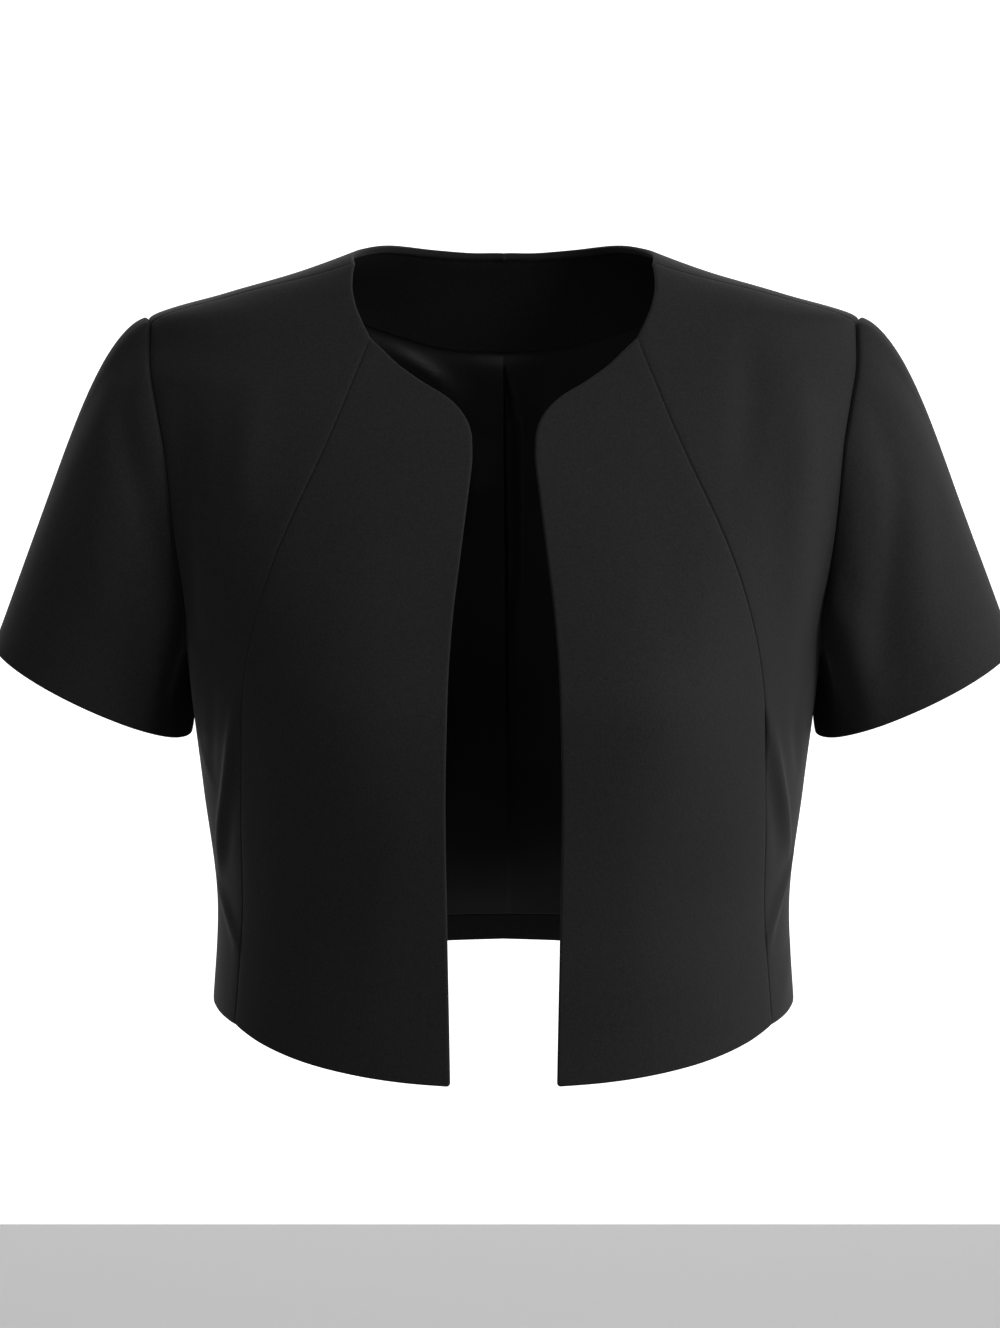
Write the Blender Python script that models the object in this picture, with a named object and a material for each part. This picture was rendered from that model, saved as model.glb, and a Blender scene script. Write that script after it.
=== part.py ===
# A short-sleeved, open-fronted bolero jacket, hollow, as it stands when it is worn.
# The cloth lies on one smooth form, and each piece of cloth is a wall between its own seams.
# The wearer's left is at +X and the front at -Y. Lengths in the tables are in millimetres.

import math

import bpy
import numpy as np

MM = 0.001

# Points are settled on the form by this many steps, from slopes taken over a short length.
SETTLE_STEPS = 12
SLOPE_LENGTH = 0.01 * MM
LEAST_SLOPE = 1e-9

# Cloth and seams
WALL = 1.8 * MM
INNER_WALL = 1.0 * MM
LAYER_GAP = 0.3 * MM
SEAM_GAP = 0.3 * MM

# The jacket hangs from the neck and shoulders. Its origin is this far below the top of the neck.
ORIGIN_DROP = 20 * MM

# The form, as level sections: rounded rectangles of a half width, a front depth and a back depth.
ROUNDNESS = 2.4
FORM_COLUMNS = ("height", "half_width", "front_depth", "back_depth")
FORM = (
    (-450, 163.0, 115.0, 94.0),
    (-408, 159.1, 114.5, 91.0),
    (-357, 156.1, 116.0, 89.5),
    (-290, 163.3, 122.0, 97.5),
    (-240, 169.2, 124.5, 104.0),
    (-205, 172.8, 119.0, 106.0),
    (-141, 191.3, 102.0, 103.0),
    (-98, 200.0, 86.0, 96.0),
    (-70, 201.5, 72.0, 88.5),
    (-50, 194.5, 61.0, 82.0),
    (-38, 191.0, 55.5, 77.5),
    (-24, 149.5, 49.0, 71.5),
    (-12.5, 110.5, 42.0, 65.5),
    (-1.7, 80.5, 35.1, 58.4),
    (6, 62.0, 30.0, 52.0),
)

# The seams shape the front for the bust: a soft rise on each side.
BUST = {"across": 88 * MM, "height": -240 * MM, "rise": 7 * MM, "width": 48 * MM, "length": 62 * MM}

# Seams and edges of the left half. Those on the front and the back are (across, height), and the
# side front's hem has one point between the princess seam and the side, as (depth, height).
FRONT_EDGE = (
    (28.0, -433), (29.3, -354), (30.1, -287), (29.4, -245), (28.3, -212),
    (25.9, -182), (22.6, -156), (18.6, -125), (16.3, -106), (16.5, -93),
)
FRONT_NECKLINE = (
    (16.5, -93), (18.8, -86), (23.8, -79), (31, -73), (43, -66), (54.7, -58), (62.5, -51), (70, -44.3),
)
PRINCESS_SEAM = (
    (144, -412), (140.5, -370), (138.8, -320), (138, -273), (137, -235), (133.5, -207),
    (127, -180), (117.8, -153), (107, -128.5), (98, -110), (90, -92.5), (83, -76), (70, -44.3),
)
SIDE_NECKLINE = ((70, -44.3), (74.5, -35.5), (78, -27.2), (80.1, -17.4), (79.4, -7.9))
FRONT_HEM = ((28, -433), (54, -431.5), (80, -428.8), (107, -424.3), (130, -418), (144, -412))
SIDE_FRONT_HEM = (-30, -409)
FACING_EDGE = ((0, -60.5), (32, -58.5), (59, -51), (80, -43.3), (104, -32.5), (119, -23.5))
BAND_EDGE = ((0, -381), (60, -382.5), (110, -387), (140, -390.5))
BACK_HEM = ((0, -396), (60, -398), (110, -402.5), (140, -406))

# The side seam's points are heights, with the hem and the hem band's edge first.
SIDE_HEM = -408.0
SIDE_BAND = -393.0
UNDERARM = -214.0

# The back neck and the shoulder seam, which lies in front of the ridge: (across, depth).
# Their heights are found between two levels.
BACK_NECK = ((0, 61), (19, 60), (38, 54.7), (52, 46.5), (65, 32.5), (74, 19), (79, 5), (80.6, -9))
SHOULDER_SEAM = ((79.4, -24.2), (100, -23.3), (126.5, -19.8), (155, -17.4), (188.3, -15.5))
FACING_AT_SHOULDER = 126.5
TOP_LEVELS = (-70 * MM, 5 * MM)
HALVINGS = 40

# The armhole, from the underarm up to the shoulder seam: (depth, height).
ARMHOLE_FRONT = (
    (0, -214), (-16, -211), (-31, -201), (-42, -181), (-48, -154), (-49, -130),
    (-48, -113), (-45, -98), (-35, -71.5), (-22, -52.5),
)
ARMHOLE_BACK = (
    (0, -214), (14, -211), (30, -201), (43, -180), (50, -154), (52, -125),
    (48, -98), (36, -72), (21, -50.5), (12, -42.5), (2, -38),
)
# The row of both tables where the armhole turns up from its hollow under the arm
ARMHOLE_TURN = 3

# The sleeve ends in a tilted oval cuff.
CUFF = {
    "across": 224 * MM,
    "height": -239 * MM,
    "half_width": 58.3 * MM,
    "half_depth": 48 * MM,
    "front_dip": 3.8 * MM,
    "tilt": math.radians(24.8),
}
# How the sleeve leaves the armhole and meets the cuff: across, depth and height at each place.
SLEEVE_START_TOP = (1.0, 0.0, -0.26)
SLEEVE_START_UNDER = (0.02, 0.0, -1.0)
SLEEVE_END_TOP = (0.36, 0.0, -0.93)
SLEEVE_END_UNDER = (0.0, 0.0, -1.0)
SLEEVE_FULLNESS = 0.25
SLEEVE_HEAD = 29 * MM
SLEEVE_REACH = {"under": 0.33, "top": 0.64}

# The lining's centre-back pleat stands in from the back and fades out below the facing.
PLEAT = {"depth": 4.5 * MM, "width": 12 * MM, "reach": 0.9, "starts": -62 * MM, "full": -95 * MM}

# Rows and columns of each piece's faces
FACING_ROWS = 3
FACING_COLUMNS = 7
SHOULDER_COLUMNS = 6
UNDERARM_COLUMNS = 4
BAND_ROWS = 2
SIDE_ROWS = 9
ARMHOLE_ROWS = 10
NECKLINE_ROWS = 3
PRINCESS_ROWS = 18
CENTRE_COLUMNS = 8
SLEEVE_ROWS = 9
SPLINE_STEPS = 24
EVENING_ROUNDS = 8
SHARP_ANGLE = math.radians(50)

BLACK_CLOTH = {"colour": (0.012, 0.012, 0.013, 1), "roughness": 0.85}
DARK_FACING = {"colour": (0.008, 0.008, 0.009, 1), "roughness": 0.9}
SATIN_LINING = {"colour": (0.010, 0.010, 0.012, 1), "roughness": 0.45}


def clear_scene():
    for item in list(bpy.data.objects):
        bpy.data.objects.remove(item, do_unlink=True)


def section_values(height, column):
    """One column of the form at any height, by a smooth curve that never overshoots the table."""
    heights = np.array([row[0] for row in FORM]) * MM
    values = np.array([row[FORM_COLUMNS.index(column)] for row in FORM]) * MM
    steps = np.diff(values) / np.diff(heights)
    slopes = np.concatenate([steps[:1], np.zeros(len(steps) - 1), steps[-1:]])
    same_way = steps[:-1] * steps[1:] > 0
    pairs = np.where(same_way, steps[:-1] + steps[1:], 1)
    slopes[1:-1] = np.where(same_way, 2 * steps[:-1] * steps[1:] / pairs, 0)
    row = np.clip(np.searchsorted(heights, height) - 1, 0, len(heights) - 2)
    tall = heights[row + 1] - heights[row]
    t = (height - heights[row]) / tall
    return (
        (2 * t**3 - 3 * t**2 + 1) * values[row]
        + (t**3 - 2 * t**2 + t) * tall * slopes[row]
        + (3 * t**2 - 2 * t**3) * values[row + 1]
        + (t**3 - t**2) * tall * slopes[row + 1]
    )


def front_depth(across, height):
    rise_across = (np.abs(across) - BUST["across"]) / BUST["width"]
    rise_up = (height - BUST["height"]) / BUST["length"]
    rise = BUST["rise"] * np.exp(-(rise_across**2) - rise_up**2)
    return section_values(height, "front_depth") + rise


def outside(points):
    """Negative inside the form, zero on it and positive outside."""
    across, depth, height = points[..., 0], points[..., 1], points[..., 2]
    reach = np.where(depth < 0, front_depth(across, height), section_values(height, "back_depth"))
    wide = np.abs(across) / section_values(height, "half_width")
    return wide**ROUNDNESS + (np.abs(depth) / reach) ** ROUNDNESS - 1


def slope(points):
    sides = []
    for axis in range(3):
        step = np.zeros(3)
        step[axis] = SLOPE_LENGTH
        sides.append((outside(points + step) - outside(points - step)) / (2 * SLOPE_LENGTH))
    return np.stack(sides, axis=-1)


def settle(points):
    """Moves points the short way onto the form."""
    for _ in range(SETTLE_STEPS):
        steep = slope(points)
        amount = outside(points) / np.maximum((steep**2).sum(-1), LEAST_SLOPE)
        points = points - amount[..., None] * steep
    return points


def outward(points):
    steep = slope(points)
    return steep / np.linalg.norm(steep, axis=-1, keepdims=True)


def left_over(share):
    return np.maximum(1 - share**ROUNDNESS, 0) ** (1 / ROUNDNESS)


def on_front(table):
    across, height = np.array(table, float).T * MM
    wide = np.abs(across) / section_values(height, "half_width")
    return np.stack([across, -front_depth(across, height) * left_over(wide), height], axis=1)


def on_back(table):
    across, height = np.array(table, float).T * MM
    wide = np.abs(across) / section_values(height, "half_width")
    return np.stack([across, section_values(height, "back_depth") * left_over(wide), height], axis=1)


def on_side(table):
    depth, height = np.array(table, float).T * MM
    column = np.where(depth < 0, section_values(height, "front_depth"), section_values(height, "back_depth"))
    across = section_values(height, "half_width") * left_over(np.abs(depth) / column)
    return np.stack([across, depth, height], axis=1)


def on_top(table):
    """Points of a line over the shoulders, whose heights are found by halving."""
    points = []
    for across, depth in np.array(table, float) * MM:
        low, high = TOP_LEVELS
        for _ in range(HALVINGS):
            middle = (low + high) / 2
            if outside(np.array([across, depth, middle])) < 0:
                low = middle
            else:
                high = middle
        points.append((across, depth, low))
    return np.array(points)


def smooth_line(points):
    """Many points along a smooth curve through the given ones, settled on the form."""
    before = 2 * points[0] - points[1]
    after = 2 * points[-1] - points[-2]
    ends = np.vstack([before, points, after])
    line = []
    for a, b, c, d in zip(ends[:-3], ends[1:-2], ends[2:-1], ends[3:], strict=True):
        for t in np.arange(SPLINE_STEPS) / SPLINE_STEPS:
            bend = 2 * b + (c - a) * t + (2 * a - 5 * b + 4 * c - d) * t**2
            line.append((bend + (3 * b - a - 3 * c + d) * t**3) / 2)
    line.append(points[-1])
    return settle(np.array(line))


def spaced(line, count, first=0):
    """The line again as count equal steps, which follow a first step of a length of its own if given."""
    along = np.concatenate([[0], np.cumsum(np.linalg.norm(np.diff(line, axis=0), axis=1))])
    at = np.linspace(first, along[-1], count + 1)
    if first:
        at = np.concatenate([[0], at])
    points = np.stack([np.interp(at, along, line[:, axis]) for axis in range(3)], axis=1)
    return settle(points)


def joined(*lines):
    """Lines end to end, each starting where the one before it stops."""
    return np.vstack([lines[0]] + [line[1:] for line in lines[1:]])


def patch(bottom, top, near, far):
    """A grid of points on the form between four edges: bottom and top run across, near and far up."""
    across = np.linspace(0, 1, len(bottom))[:, None, None]
    up = np.linspace(0, 1, len(near))[None, :, None]
    ruled_up = (1 - up) * bottom[:, None] + up * top[:, None]
    ruled_across = (1 - across) * near[None] + across * far[None]
    corners = (1 - up) * ((1 - across) * bottom[0] + across * bottom[-1])
    corners = corners + up * ((1 - across) * top[0] + across * top[-1])
    grid = settle(ruled_up + ruled_across - corners)
    for _ in range(EVENING_ROUNDS):
        beside = grid[:-2, 1:-1] + grid[2:, 1:-1] + grid[1:-1, :-2] + grid[1:-1, 2:]
        grid[1:-1, 1:-1] = settle(beside / 4)
    return grid


def seam_lines():
    """Every seam and edge of the left half, as points that the pieces on both sides share."""
    shoulder_ends = on_top(SHOULDER_SEAM)
    neck_point, shoulder_point = shoulder_ends[0], shoulder_ends[-1]
    split = [row[0] for row in SHOULDER_SEAM].index(FACING_AT_SHOULDER)
    facing_point = shoulder_ends[split]
    side_heights = np.linspace(SIDE_BAND, UNDERARM, SIDE_ROWS + 1)
    princess_foot = on_front(PRINCESS_SEAM[:1])
    hem_side, band_side = on_side([(0, SIDE_HEM)]), on_side([(0, SIDE_BAND)])
    lines = {
        "front_edge": spaced(smooth_line(on_front(FRONT_EDGE)), PRINCESS_ROWS),
        "front_neckline": spaced(smooth_line(on_front(FRONT_NECKLINE)), CENTRE_COLUMNS),
        "princess": spaced(smooth_line(on_front(PRINCESS_SEAM)), PRINCESS_ROWS),
        "front_hem": spaced(smooth_line(on_front(FRONT_HEM)), CENTRE_COLUMNS),
        "side_front_hem": spaced(
            smooth_line(np.vstack([princess_foot, on_side([SIDE_FRONT_HEM]), hem_side])),
            FACING_ROWS + SHOULDER_COLUMNS + UNDERARM_COLUMNS,
        ),
        "band_side": spaced(smooth_line(np.vstack([hem_side, band_side])), BAND_ROWS),
        "side": spaced(smooth_line(on_side([(0, height) for height in side_heights])), SIDE_ROWS),
        "shoulder_inner": spaced(smooth_line(shoulder_ends[: split + 1]), FACING_ROWS),
        "shoulder_outer": spaced(smooth_line(shoulder_ends[split:]), SHOULDER_COLUMNS),
    }
    for name, points, end, columns in (
        ("back_neck", on_top(BACK_NECK), neck_point, FACING_COLUMNS),
        ("facing_edge", on_back(FACING_EDGE), facing_point, FACING_COLUMNS),
        ("band_edge", on_back(BAND_EDGE), band_side, SHOULDER_COLUMNS + UNDERARM_COLUMNS),
        ("back_hem", on_back(BACK_HEM), hem_side, SHOULDER_COLUMNS + UNDERARM_COLUMNS),
    ):
        lines[name] = spaced(smooth_line(np.vstack([points, end])), columns, PLEAT["width"])
    turn = ARMHOLE_TURN * SPLINE_STEPS
    for name, table in (("front", ARMHOLE_FRONT), ("back", ARMHOLE_BACK)):
        line = smooth_line(np.vstack([on_side(table), shoulder_point]))
        lines["underarm_" + name] = spaced(line[: turn + 1], UNDERARM_COLUMNS)
        lines["armhole_" + name] = spaced(line[turn:], ARMHOLE_ROWS)
    side_neckline = smooth_line(np.vstack([on_front(SIDE_NECKLINE[:-1]), neck_point]))
    lines["side_neckline"] = spaced(side_neckline, NECKLINE_ROWS)
    return lines


def straight(start, end, count):
    """The shortest line over the form between two points near each other."""
    return settle(np.linspace(start, end, count + 1))


def faces_of(rows_by_columns, offset=0, closed=False):
    """The triangles of a grid whose points are numbered up each column in turn. All layers split alike."""
    columns, rows = rows_by_columns
    faces = []
    for i in range(columns if closed else columns - 1):
        for j in range(rows - 1):
            a = offset + i * rows + j
            b = offset + (i + 1) % columns * rows + j
            faces += [(a, b, b + 1), (a, b + 1, a + 1)]
    return faces


def open_edges(faces):
    """The edges that only one face uses, each with its face on the left."""
    edges = {(a, b) for face in faces for a, b in zip(face, face[1:] + face[:1], strict=True)}
    return sorted(edge for edge in edges if edge[::-1] not in edges)


def inset(points, normals, faces, amount):
    """Moves the points on a piece's own edge inward by amount, square to the edge."""
    before, after = {}, {}
    for a, b in open_edges(faces):
        along = points[b] - points[a]
        inward = np.cross(normals[a] + normals[b], along)
        inward = inward / np.linalg.norm(inward)
        after[a], before[b] = inward, inward
    moved = points.copy()
    for number, step in after.items():
        both = step + before[number]
        moved[number] = points[number] + amount * both / (1 + step @ before[number])
    return moved


def without_repeats(points, faces):
    """One number for each place, so that grids that share an edge become one surface."""
    places, numbers = {}, []
    for point in points:
        place = tuple(np.round(point / MM, 4))
        numbers.append(places.setdefault(place, len(places)))
    kept = np.zeros((len(places), 3))
    kept[numbers] = points
    return kept, [tuple(numbers[n] for n in face) for face in faces]


def surface(*grids):
    """One surface from grids that lie edge to edge: its points and its faces."""
    points, faces = np.zeros((0, 3)), []
    for grid in grids:
        faces += faces_of(grid.shape[:2], len(points))
        points = np.vstack([points, grid.reshape(-1, 3)])
    return without_repeats(points, faces)


def material(name, look):
    made = bpy.data.materials.new(name)
    made.use_nodes = True
    shader = made.node_tree.nodes["Principled BSDF"]
    shader.inputs["Base Color"].default_value = look["colour"]
    shader.inputs["Roughness"].default_value = look["roughness"]
    shader.inputs["Metallic"].default_value = 0
    return made


def mirrored(points, faces, side):
    """The piece as it is on the left, or turned over for the right."""
    if side > 0:
        return points, faces
    return points * np.array([-1, 1, 1]), [face[::-1] for face in faces]


def add_wall(name, outer, inner, faces, look, carrier):
    """A closed wall of cloth between an outer and an inner surface that have the same faces."""
    count = len(outer)
    walls = list(faces)
    walls += [tuple(n + count for n in face[::-1]) for face in faces]
    walls += [(b, a, a + count, b + count) for a, b in open_edges(faces)]
    mesh = bpy.data.meshes.new(name)
    mesh.from_pydata(np.vstack([outer, inner]).tolist(), [], walls)
    mesh.materials.append(material(name + "_cloth", look))
    mesh.shade_smooth()
    mesh.set_sharp_from_angle(angle=SHARP_ANGLE)
    piece = bpy.data.objects.new(name, mesh)
    piece.parent = carrier
    bpy.context.scene.collection.objects.link(piece)
    return piece


def add_panel(name, grids, side, carrier):
    """A panel of the outer cloth. Its outer face is on the form, half a seam gap inside its edges."""
    points, faces = surface(*grids)
    normals = outward(points)
    outer = inset(points, normals, faces, SEAM_GAP / 2)
    inner = outer - WALL * normals
    turned, faces_turned = mirrored(outer, faces, side)
    add_wall(name, turned, mirrored(inner, faces, side)[0], faces_turned, BLACK_CLOTH, carrier)


def pleat_depth(points):
    """How far the lining stands in from the back at its centre pleat."""
    near = np.clip(1 - np.abs(points[:, 0]) / (PLEAT["reach"] * PLEAT["width"]), 0, 1)
    down = (PLEAT["starts"] - points[:, 2]) / (PLEAT["starts"] - PLEAT["full"])
    up = (points[:, 2] - BAND_EDGE[0][1] * MM) / (PLEAT["starts"] - PLEAT["full"])
    return PLEAT["depth"] * near * np.clip(down, 0, 1) * np.clip(up, 0, 1)


def add_inner_layer(name, grids, look, carrier, with_pleat=False):
    """A layer that lies inside both back panels, made from their points, moved in."""
    left_points, left_faces = surface(*grids)
    right_points, right_faces = mirrored(left_points, left_faces, -1)
    right_faces = [tuple(n + len(left_points) for n in face) for face in right_faces]
    points, faces = without_repeats(np.vstack([left_points, right_points]), left_faces + right_faces)
    normals = outward(points)
    depth = WALL + LAYER_GAP + (pleat_depth(points) if with_pleat else np.zeros(len(points)))
    edge = inset(points, normals, faces, SEAM_GAP / 2)
    outer = edge - depth[:, None] * normals
    inner = outer - INNER_WALL * normals
    add_wall(name, outer, inner, faces, look, carrier)


def unit(vectors):
    return vectors / np.linalg.norm(vectors, axis=-1, keepdims=True)


def cuff_line(turns):
    """Points round the cuff: 0 is under the arm, a quarter is the front and a half is the outside."""
    angle = 2 * np.pi * turns
    wide = -CUFF["half_width"] * np.cos(angle)
    across = CUFF["across"] + wide * math.cos(CUFF["tilt"])
    depth = -CUFF["half_depth"] * np.sin(angle)
    height = CUFF["height"] + wide * math.sin(CUFF["tilt"]) - CUFF["front_dip"] * np.sin(angle)
    return np.stack([across, depth, height], axis=1)


def sleeve_grid(seams):
    """The sleeve's outer face, as columns from the armhole to the cuff, starting under the arm."""
    up_the_front = joined(seams["underarm_front"], seams["armhole_front"])
    down_the_back = joined(seams["underarm_back"], seams["armhole_back"])[::-1]
    start = joined(up_the_front, down_the_back)[:-1]
    turns = np.arange(len(start)) / len(start)
    end = cuff_line(turns)
    top = ((1 - np.cos(2 * np.pi * turns)) / 2)[:, None]
    bulge = np.zeros((len(start), 3))
    bulge[:, 1] = -SLEEVE_FULLNESS * np.sin(2 * np.pi * turns)
    leave = unit((1 - top) * np.array(SLEEVE_START_UNDER) + top * np.array(SLEEVE_START_TOP) + bulge)
    arrive = unit((1 - top) * np.array(SLEEVE_END_UNDER) + top * np.array(SLEEVE_END_TOP))
    chord = np.linalg.norm(end - start, axis=1, keepdims=True)
    reach = chord * (SLEEVE_REACH["under"] + (SLEEVE_REACH["top"] - SLEEVE_REACH["under"]) * top)
    b, c = start + SLEEVE_HEAD * leave, end - reach * arrive
    rows = []
    for t in np.linspace(0, 1, SLEEVE_ROWS + 1):
        rows.append((1 - t) ** 3 * start + 3 * (1 - t) ** 2 * t * b + 3 * (1 - t) * t**2 * c + t**3 * end)
    return np.stack(rows, axis=1), leave


def grid_normals(grid):
    """Outward directions of a closed tube of columns."""
    round_about = np.roll(grid, -1, axis=0) - np.roll(grid, 1, axis=0)
    down = np.gradient(grid, axis=1)
    return unit(np.cross(down, round_about))


def add_sleeve(name, seams, side, carrier):
    """The sleeve's wall. Its edge at the armhole is cut to the half-angle between cloth and cloth."""
    grid, leave = sleeve_grid(seams)
    normals = grid_normals(grid)
    start = grid[:, 0]
    body_out = outward(start)
    along = unit(np.roll(start, -1, axis=0) - np.roll(start, 1, axis=0))
    body_in = unit(np.cross(body_out, along))
    turn = np.arctan2((leave * -body_out).sum(1), (leave * body_in).sum(1)) % (2 * np.pi)
    half = np.clip(turn / 2, np.pi / 2, np.pi)[:, None]
    mitre = np.cos(half) * body_in - np.sin(half) * body_out
    away = -np.sin(half) * body_in - np.cos(half) * body_out
    outer = grid.copy()
    inner = grid - WALL * normals
    outer[:, 0] = start + SEAM_GAP * away
    inner[:, 0] = outer[:, 0] + WALL * mitre
    faces = [face[::-1] for face in faces_of(grid.shape[:2], closed=True)]
    outer, inner = outer.reshape(-1, 3), inner.reshape(-1, 3)
    turned, faces_turned = mirrored(outer, faces, side)
    add_wall(name, turned, mirrored(inner, faces, side)[0], faces_turned, BLACK_CLOTH, carrier)


def front_side_grids(seams):
    """The side front below and above a line from the princess seam to the armhole's turn."""
    rows_below = BAND_ROWS + SIDE_ROWS
    shoulder = joined(seams["shoulder_inner"], seams["shoulder_outer"])
    across = straight(seams["princess"][rows_below], seams["armhole_front"][0], len(shoulder) - 1)
    below = patch(
        seams["side_front_hem"],
        joined(across, seams["underarm_front"][::-1]),
        seams["princess"][: rows_below + 1],
        joined(seams["band_side"], seams["side"]),
    )
    above = patch(
        across,
        shoulder,
        joined(seams["princess"][rows_below:], seams["side_neckline"]),
        seams["armhole_front"],
    )
    return [below, above]


def back_grids(seams):
    """The back as three layers of cloth share it: the hem band, the lining and the neck facing."""
    hem, band_edge = seams["back_hem"], seams["band_edge"]
    facing_edge, back_neck = seams["facing_edge"], seams["back_neck"]
    lining_rows = SIDE_ROWS + ARMHOLE_ROWS - FACING_COLUMNS
    centre_line = straight(band_edge[0], facing_edge[0], lining_rows)
    pleat_line = straight(band_edge[1], facing_edge[1], lining_rows)
    across = straight(pleat_line[SIDE_ROWS], seams["armhole_back"][0], SHOULDER_COLUMNS)
    band = patch(hem, band_edge, straight(hem[0], band_edge[0], BAND_ROWS), seams["band_side"])
    pleated = patch(band_edge[:2], facing_edge[:2], centre_line, pleat_line)
    below = patch(
        band_edge[1:],
        joined(across, seams["underarm_back"][::-1]),
        pleat_line[: SIDE_ROWS + 1],
        seams["side"],
    )
    above = patch(
        across,
        seams["shoulder_outer"],
        joined(pleat_line[SIDE_ROWS:], facing_edge[1:]),
        seams["armhole_back"],
    )
    faced = patch(
        facing_edge,
        back_neck,
        straight(facing_edge[0], back_neck[0], FACING_ROWS),
        seams["shoulder_inner"][::-1],
    )
    layers = {"band": [band], "lined": [pleated, below, above], "faced": [faced]}
    return {name: [grid[::-1] for grid in grids] for name, grids in layers.items()}


def build_jacket():
    seams = seam_lines()
    carrier = bpy.data.objects.new("bolero", None)
    carrier.location = (0, 0, ORIGIN_DROP)
    bpy.context.scene.collection.objects.link(carrier)
    side_up = joined(seams["band_side"], seams["side"])
    back = back_grids(seams)
    front_centre = patch(seams["front_hem"], seams["front_neckline"], seams["front_edge"], seams["princess"])
    for word, side in (("left", 1), ("right", -1)):
        add_panel("front_centre_" + word, [front_centre], side, carrier)
        add_panel("front_side_" + word, front_side_grids(seams), side, carrier)
        add_panel("back_" + word, [grid for grids in back.values() for grid in grids], side, carrier)
        add_sleeve("sleeve_" + word, seams, side, carrier)
    add_inner_layer("back_hem_band", back["band"], BLACK_CLOTH, carrier)
    add_inner_layer("back_lining", back["lined"], SATIN_LINING, carrier, with_pleat=True)
    add_inner_layer("back_neck_facing", back["faced"], DARK_FACING, carrier)


clear_scene()
build_jacket()
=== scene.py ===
import math

import bmesh
import bpy
import numpy as np
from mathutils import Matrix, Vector, noise


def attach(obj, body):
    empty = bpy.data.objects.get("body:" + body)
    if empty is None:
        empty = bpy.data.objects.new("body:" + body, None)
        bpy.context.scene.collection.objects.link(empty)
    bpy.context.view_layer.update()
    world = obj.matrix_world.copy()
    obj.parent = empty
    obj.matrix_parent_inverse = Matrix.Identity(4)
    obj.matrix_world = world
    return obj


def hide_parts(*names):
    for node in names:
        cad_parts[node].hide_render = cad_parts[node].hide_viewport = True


# Black short-sleeved bolero jacket, open at the front, with a lined back.
# Tables are in millimetres: across is to the wearer's left, depth runs to the back,
# and height is measured from the top of the back neck.

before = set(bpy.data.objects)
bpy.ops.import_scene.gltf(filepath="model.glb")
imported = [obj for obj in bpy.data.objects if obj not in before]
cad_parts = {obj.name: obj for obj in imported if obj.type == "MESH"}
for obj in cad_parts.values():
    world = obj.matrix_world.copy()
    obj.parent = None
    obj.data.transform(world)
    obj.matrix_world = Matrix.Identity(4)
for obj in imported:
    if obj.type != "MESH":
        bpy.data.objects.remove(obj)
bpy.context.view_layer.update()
print("frame:", len(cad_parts), "nodes")

mm = 0.001
neckAboveOrigin = 20 * mm
lineSamples = 24           # points kept for each step of a seam line
clothStep = 2.6 * mm       # size of the cloth's cells
edgeCuts = (0.12, 0.4, 0.8, 1.3, 2.1, 3.3)  # finer cuts beside a seam or an edge, in mm
gridsMeet = 0.02           # points of two grids that are this close are one, in mm
skinsMeet = 0.004          # and so are points of a wall's two skins
sides = (("left", 1), ("right", -1))

# The body form that the cloth lies on: height, half width, front depth, back depth
bodyForm = {
    "roundness": 2.4,
    "sections": (
        (-450, 163.0, 115.0, 94.0),
        (-408, 159.1, 114.5, 91.0),
        (-357, 156.1, 116.0, 89.5),
        (-290, 163.3, 122.0, 97.5),
        (-240, 169.2, 124.5, 104.0),
        (-205, 172.8, 119.0, 106.0),
        (-141, 191.3, 102.0, 103.0),
        (-98, 200.0, 86.0, 96.0),
        (-70, 201.5, 72.0, 88.5),
        (-50, 194.5, 61.0, 82.0),
        (-38, 191.0, 55.5, 77.5),
        (-24, 149.5, 49.0, 71.5),
        (-12.5, 110.5, 42.0, 65.5),
        (-1.7, 80.5, 35.1, 58.4),
        (6, 62.0, 30.0, 52.0),
    ),
    "bustAcross": 88,
    "bustHeight": -240,
    "bustRise": 7,
    "bustWidth": 48,
    "bustLength": 62,
}


def sectionAt(height, column):
    table = np.array(bodyForm["sections"], float) * mm
    heights, values = table[:, 0], table[:, column]
    steps = np.diff(values) / np.diff(heights)
    slopes = np.concatenate([steps[:1], np.zeros(len(steps) - 1), steps[-1:]])
    sameWay = steps[:-1] * steps[1:] > 0
    sums = np.where(sameWay, steps[:-1] + steps[1:], 1)
    slopes[1:-1] = np.where(sameWay, 2 * steps[:-1] * steps[1:] / sums, 0)
    row = np.clip(np.searchsorted(heights, height) - 1, 0, len(heights) - 2)
    tall = heights[row + 1] - heights[row]
    t = (height - heights[row]) / tall
    return (
        (2 * t**3 - 3 * t**2 + 1) * values[row]
        + (t**3 - 2 * t**2 + t) * tall * slopes[row]
        + (3 * t**2 - 2 * t**3) * values[row + 1]
        + (t**3 - t**2) * tall * slopes[row + 1]
    )


def frontReach(across, height):
    aside = (np.abs(across) - bodyForm["bustAcross"] * mm) / (bodyForm["bustWidth"] * mm)
    above = (height - bodyForm["bustHeight"] * mm) / (bodyForm["bustLength"] * mm)
    return sectionAt(height, 2) + bodyForm["bustRise"] * mm * np.exp(-(aside**2) - above**2)


def outsideForm(points):
    across, depth, height = points[..., 0], points[..., 1], points[..., 2]
    reach = np.where(depth < 0, frontReach(across, height), sectionAt(height, 3))
    n = bodyForm["roundness"]
    return (np.abs(across) / sectionAt(height, 1)) ** n + (np.abs(depth) / reach) ** n - 1


def formSlope(points):
    small = 0.01 * mm
    slopes = []
    for axis in range(3):
        step = np.zeros(3)
        step[axis] = small
        slopes.append((outsideForm(points + step) - outsideForm(points - step)) / (2 * small))
    return np.stack(slopes, axis=-1)


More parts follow.
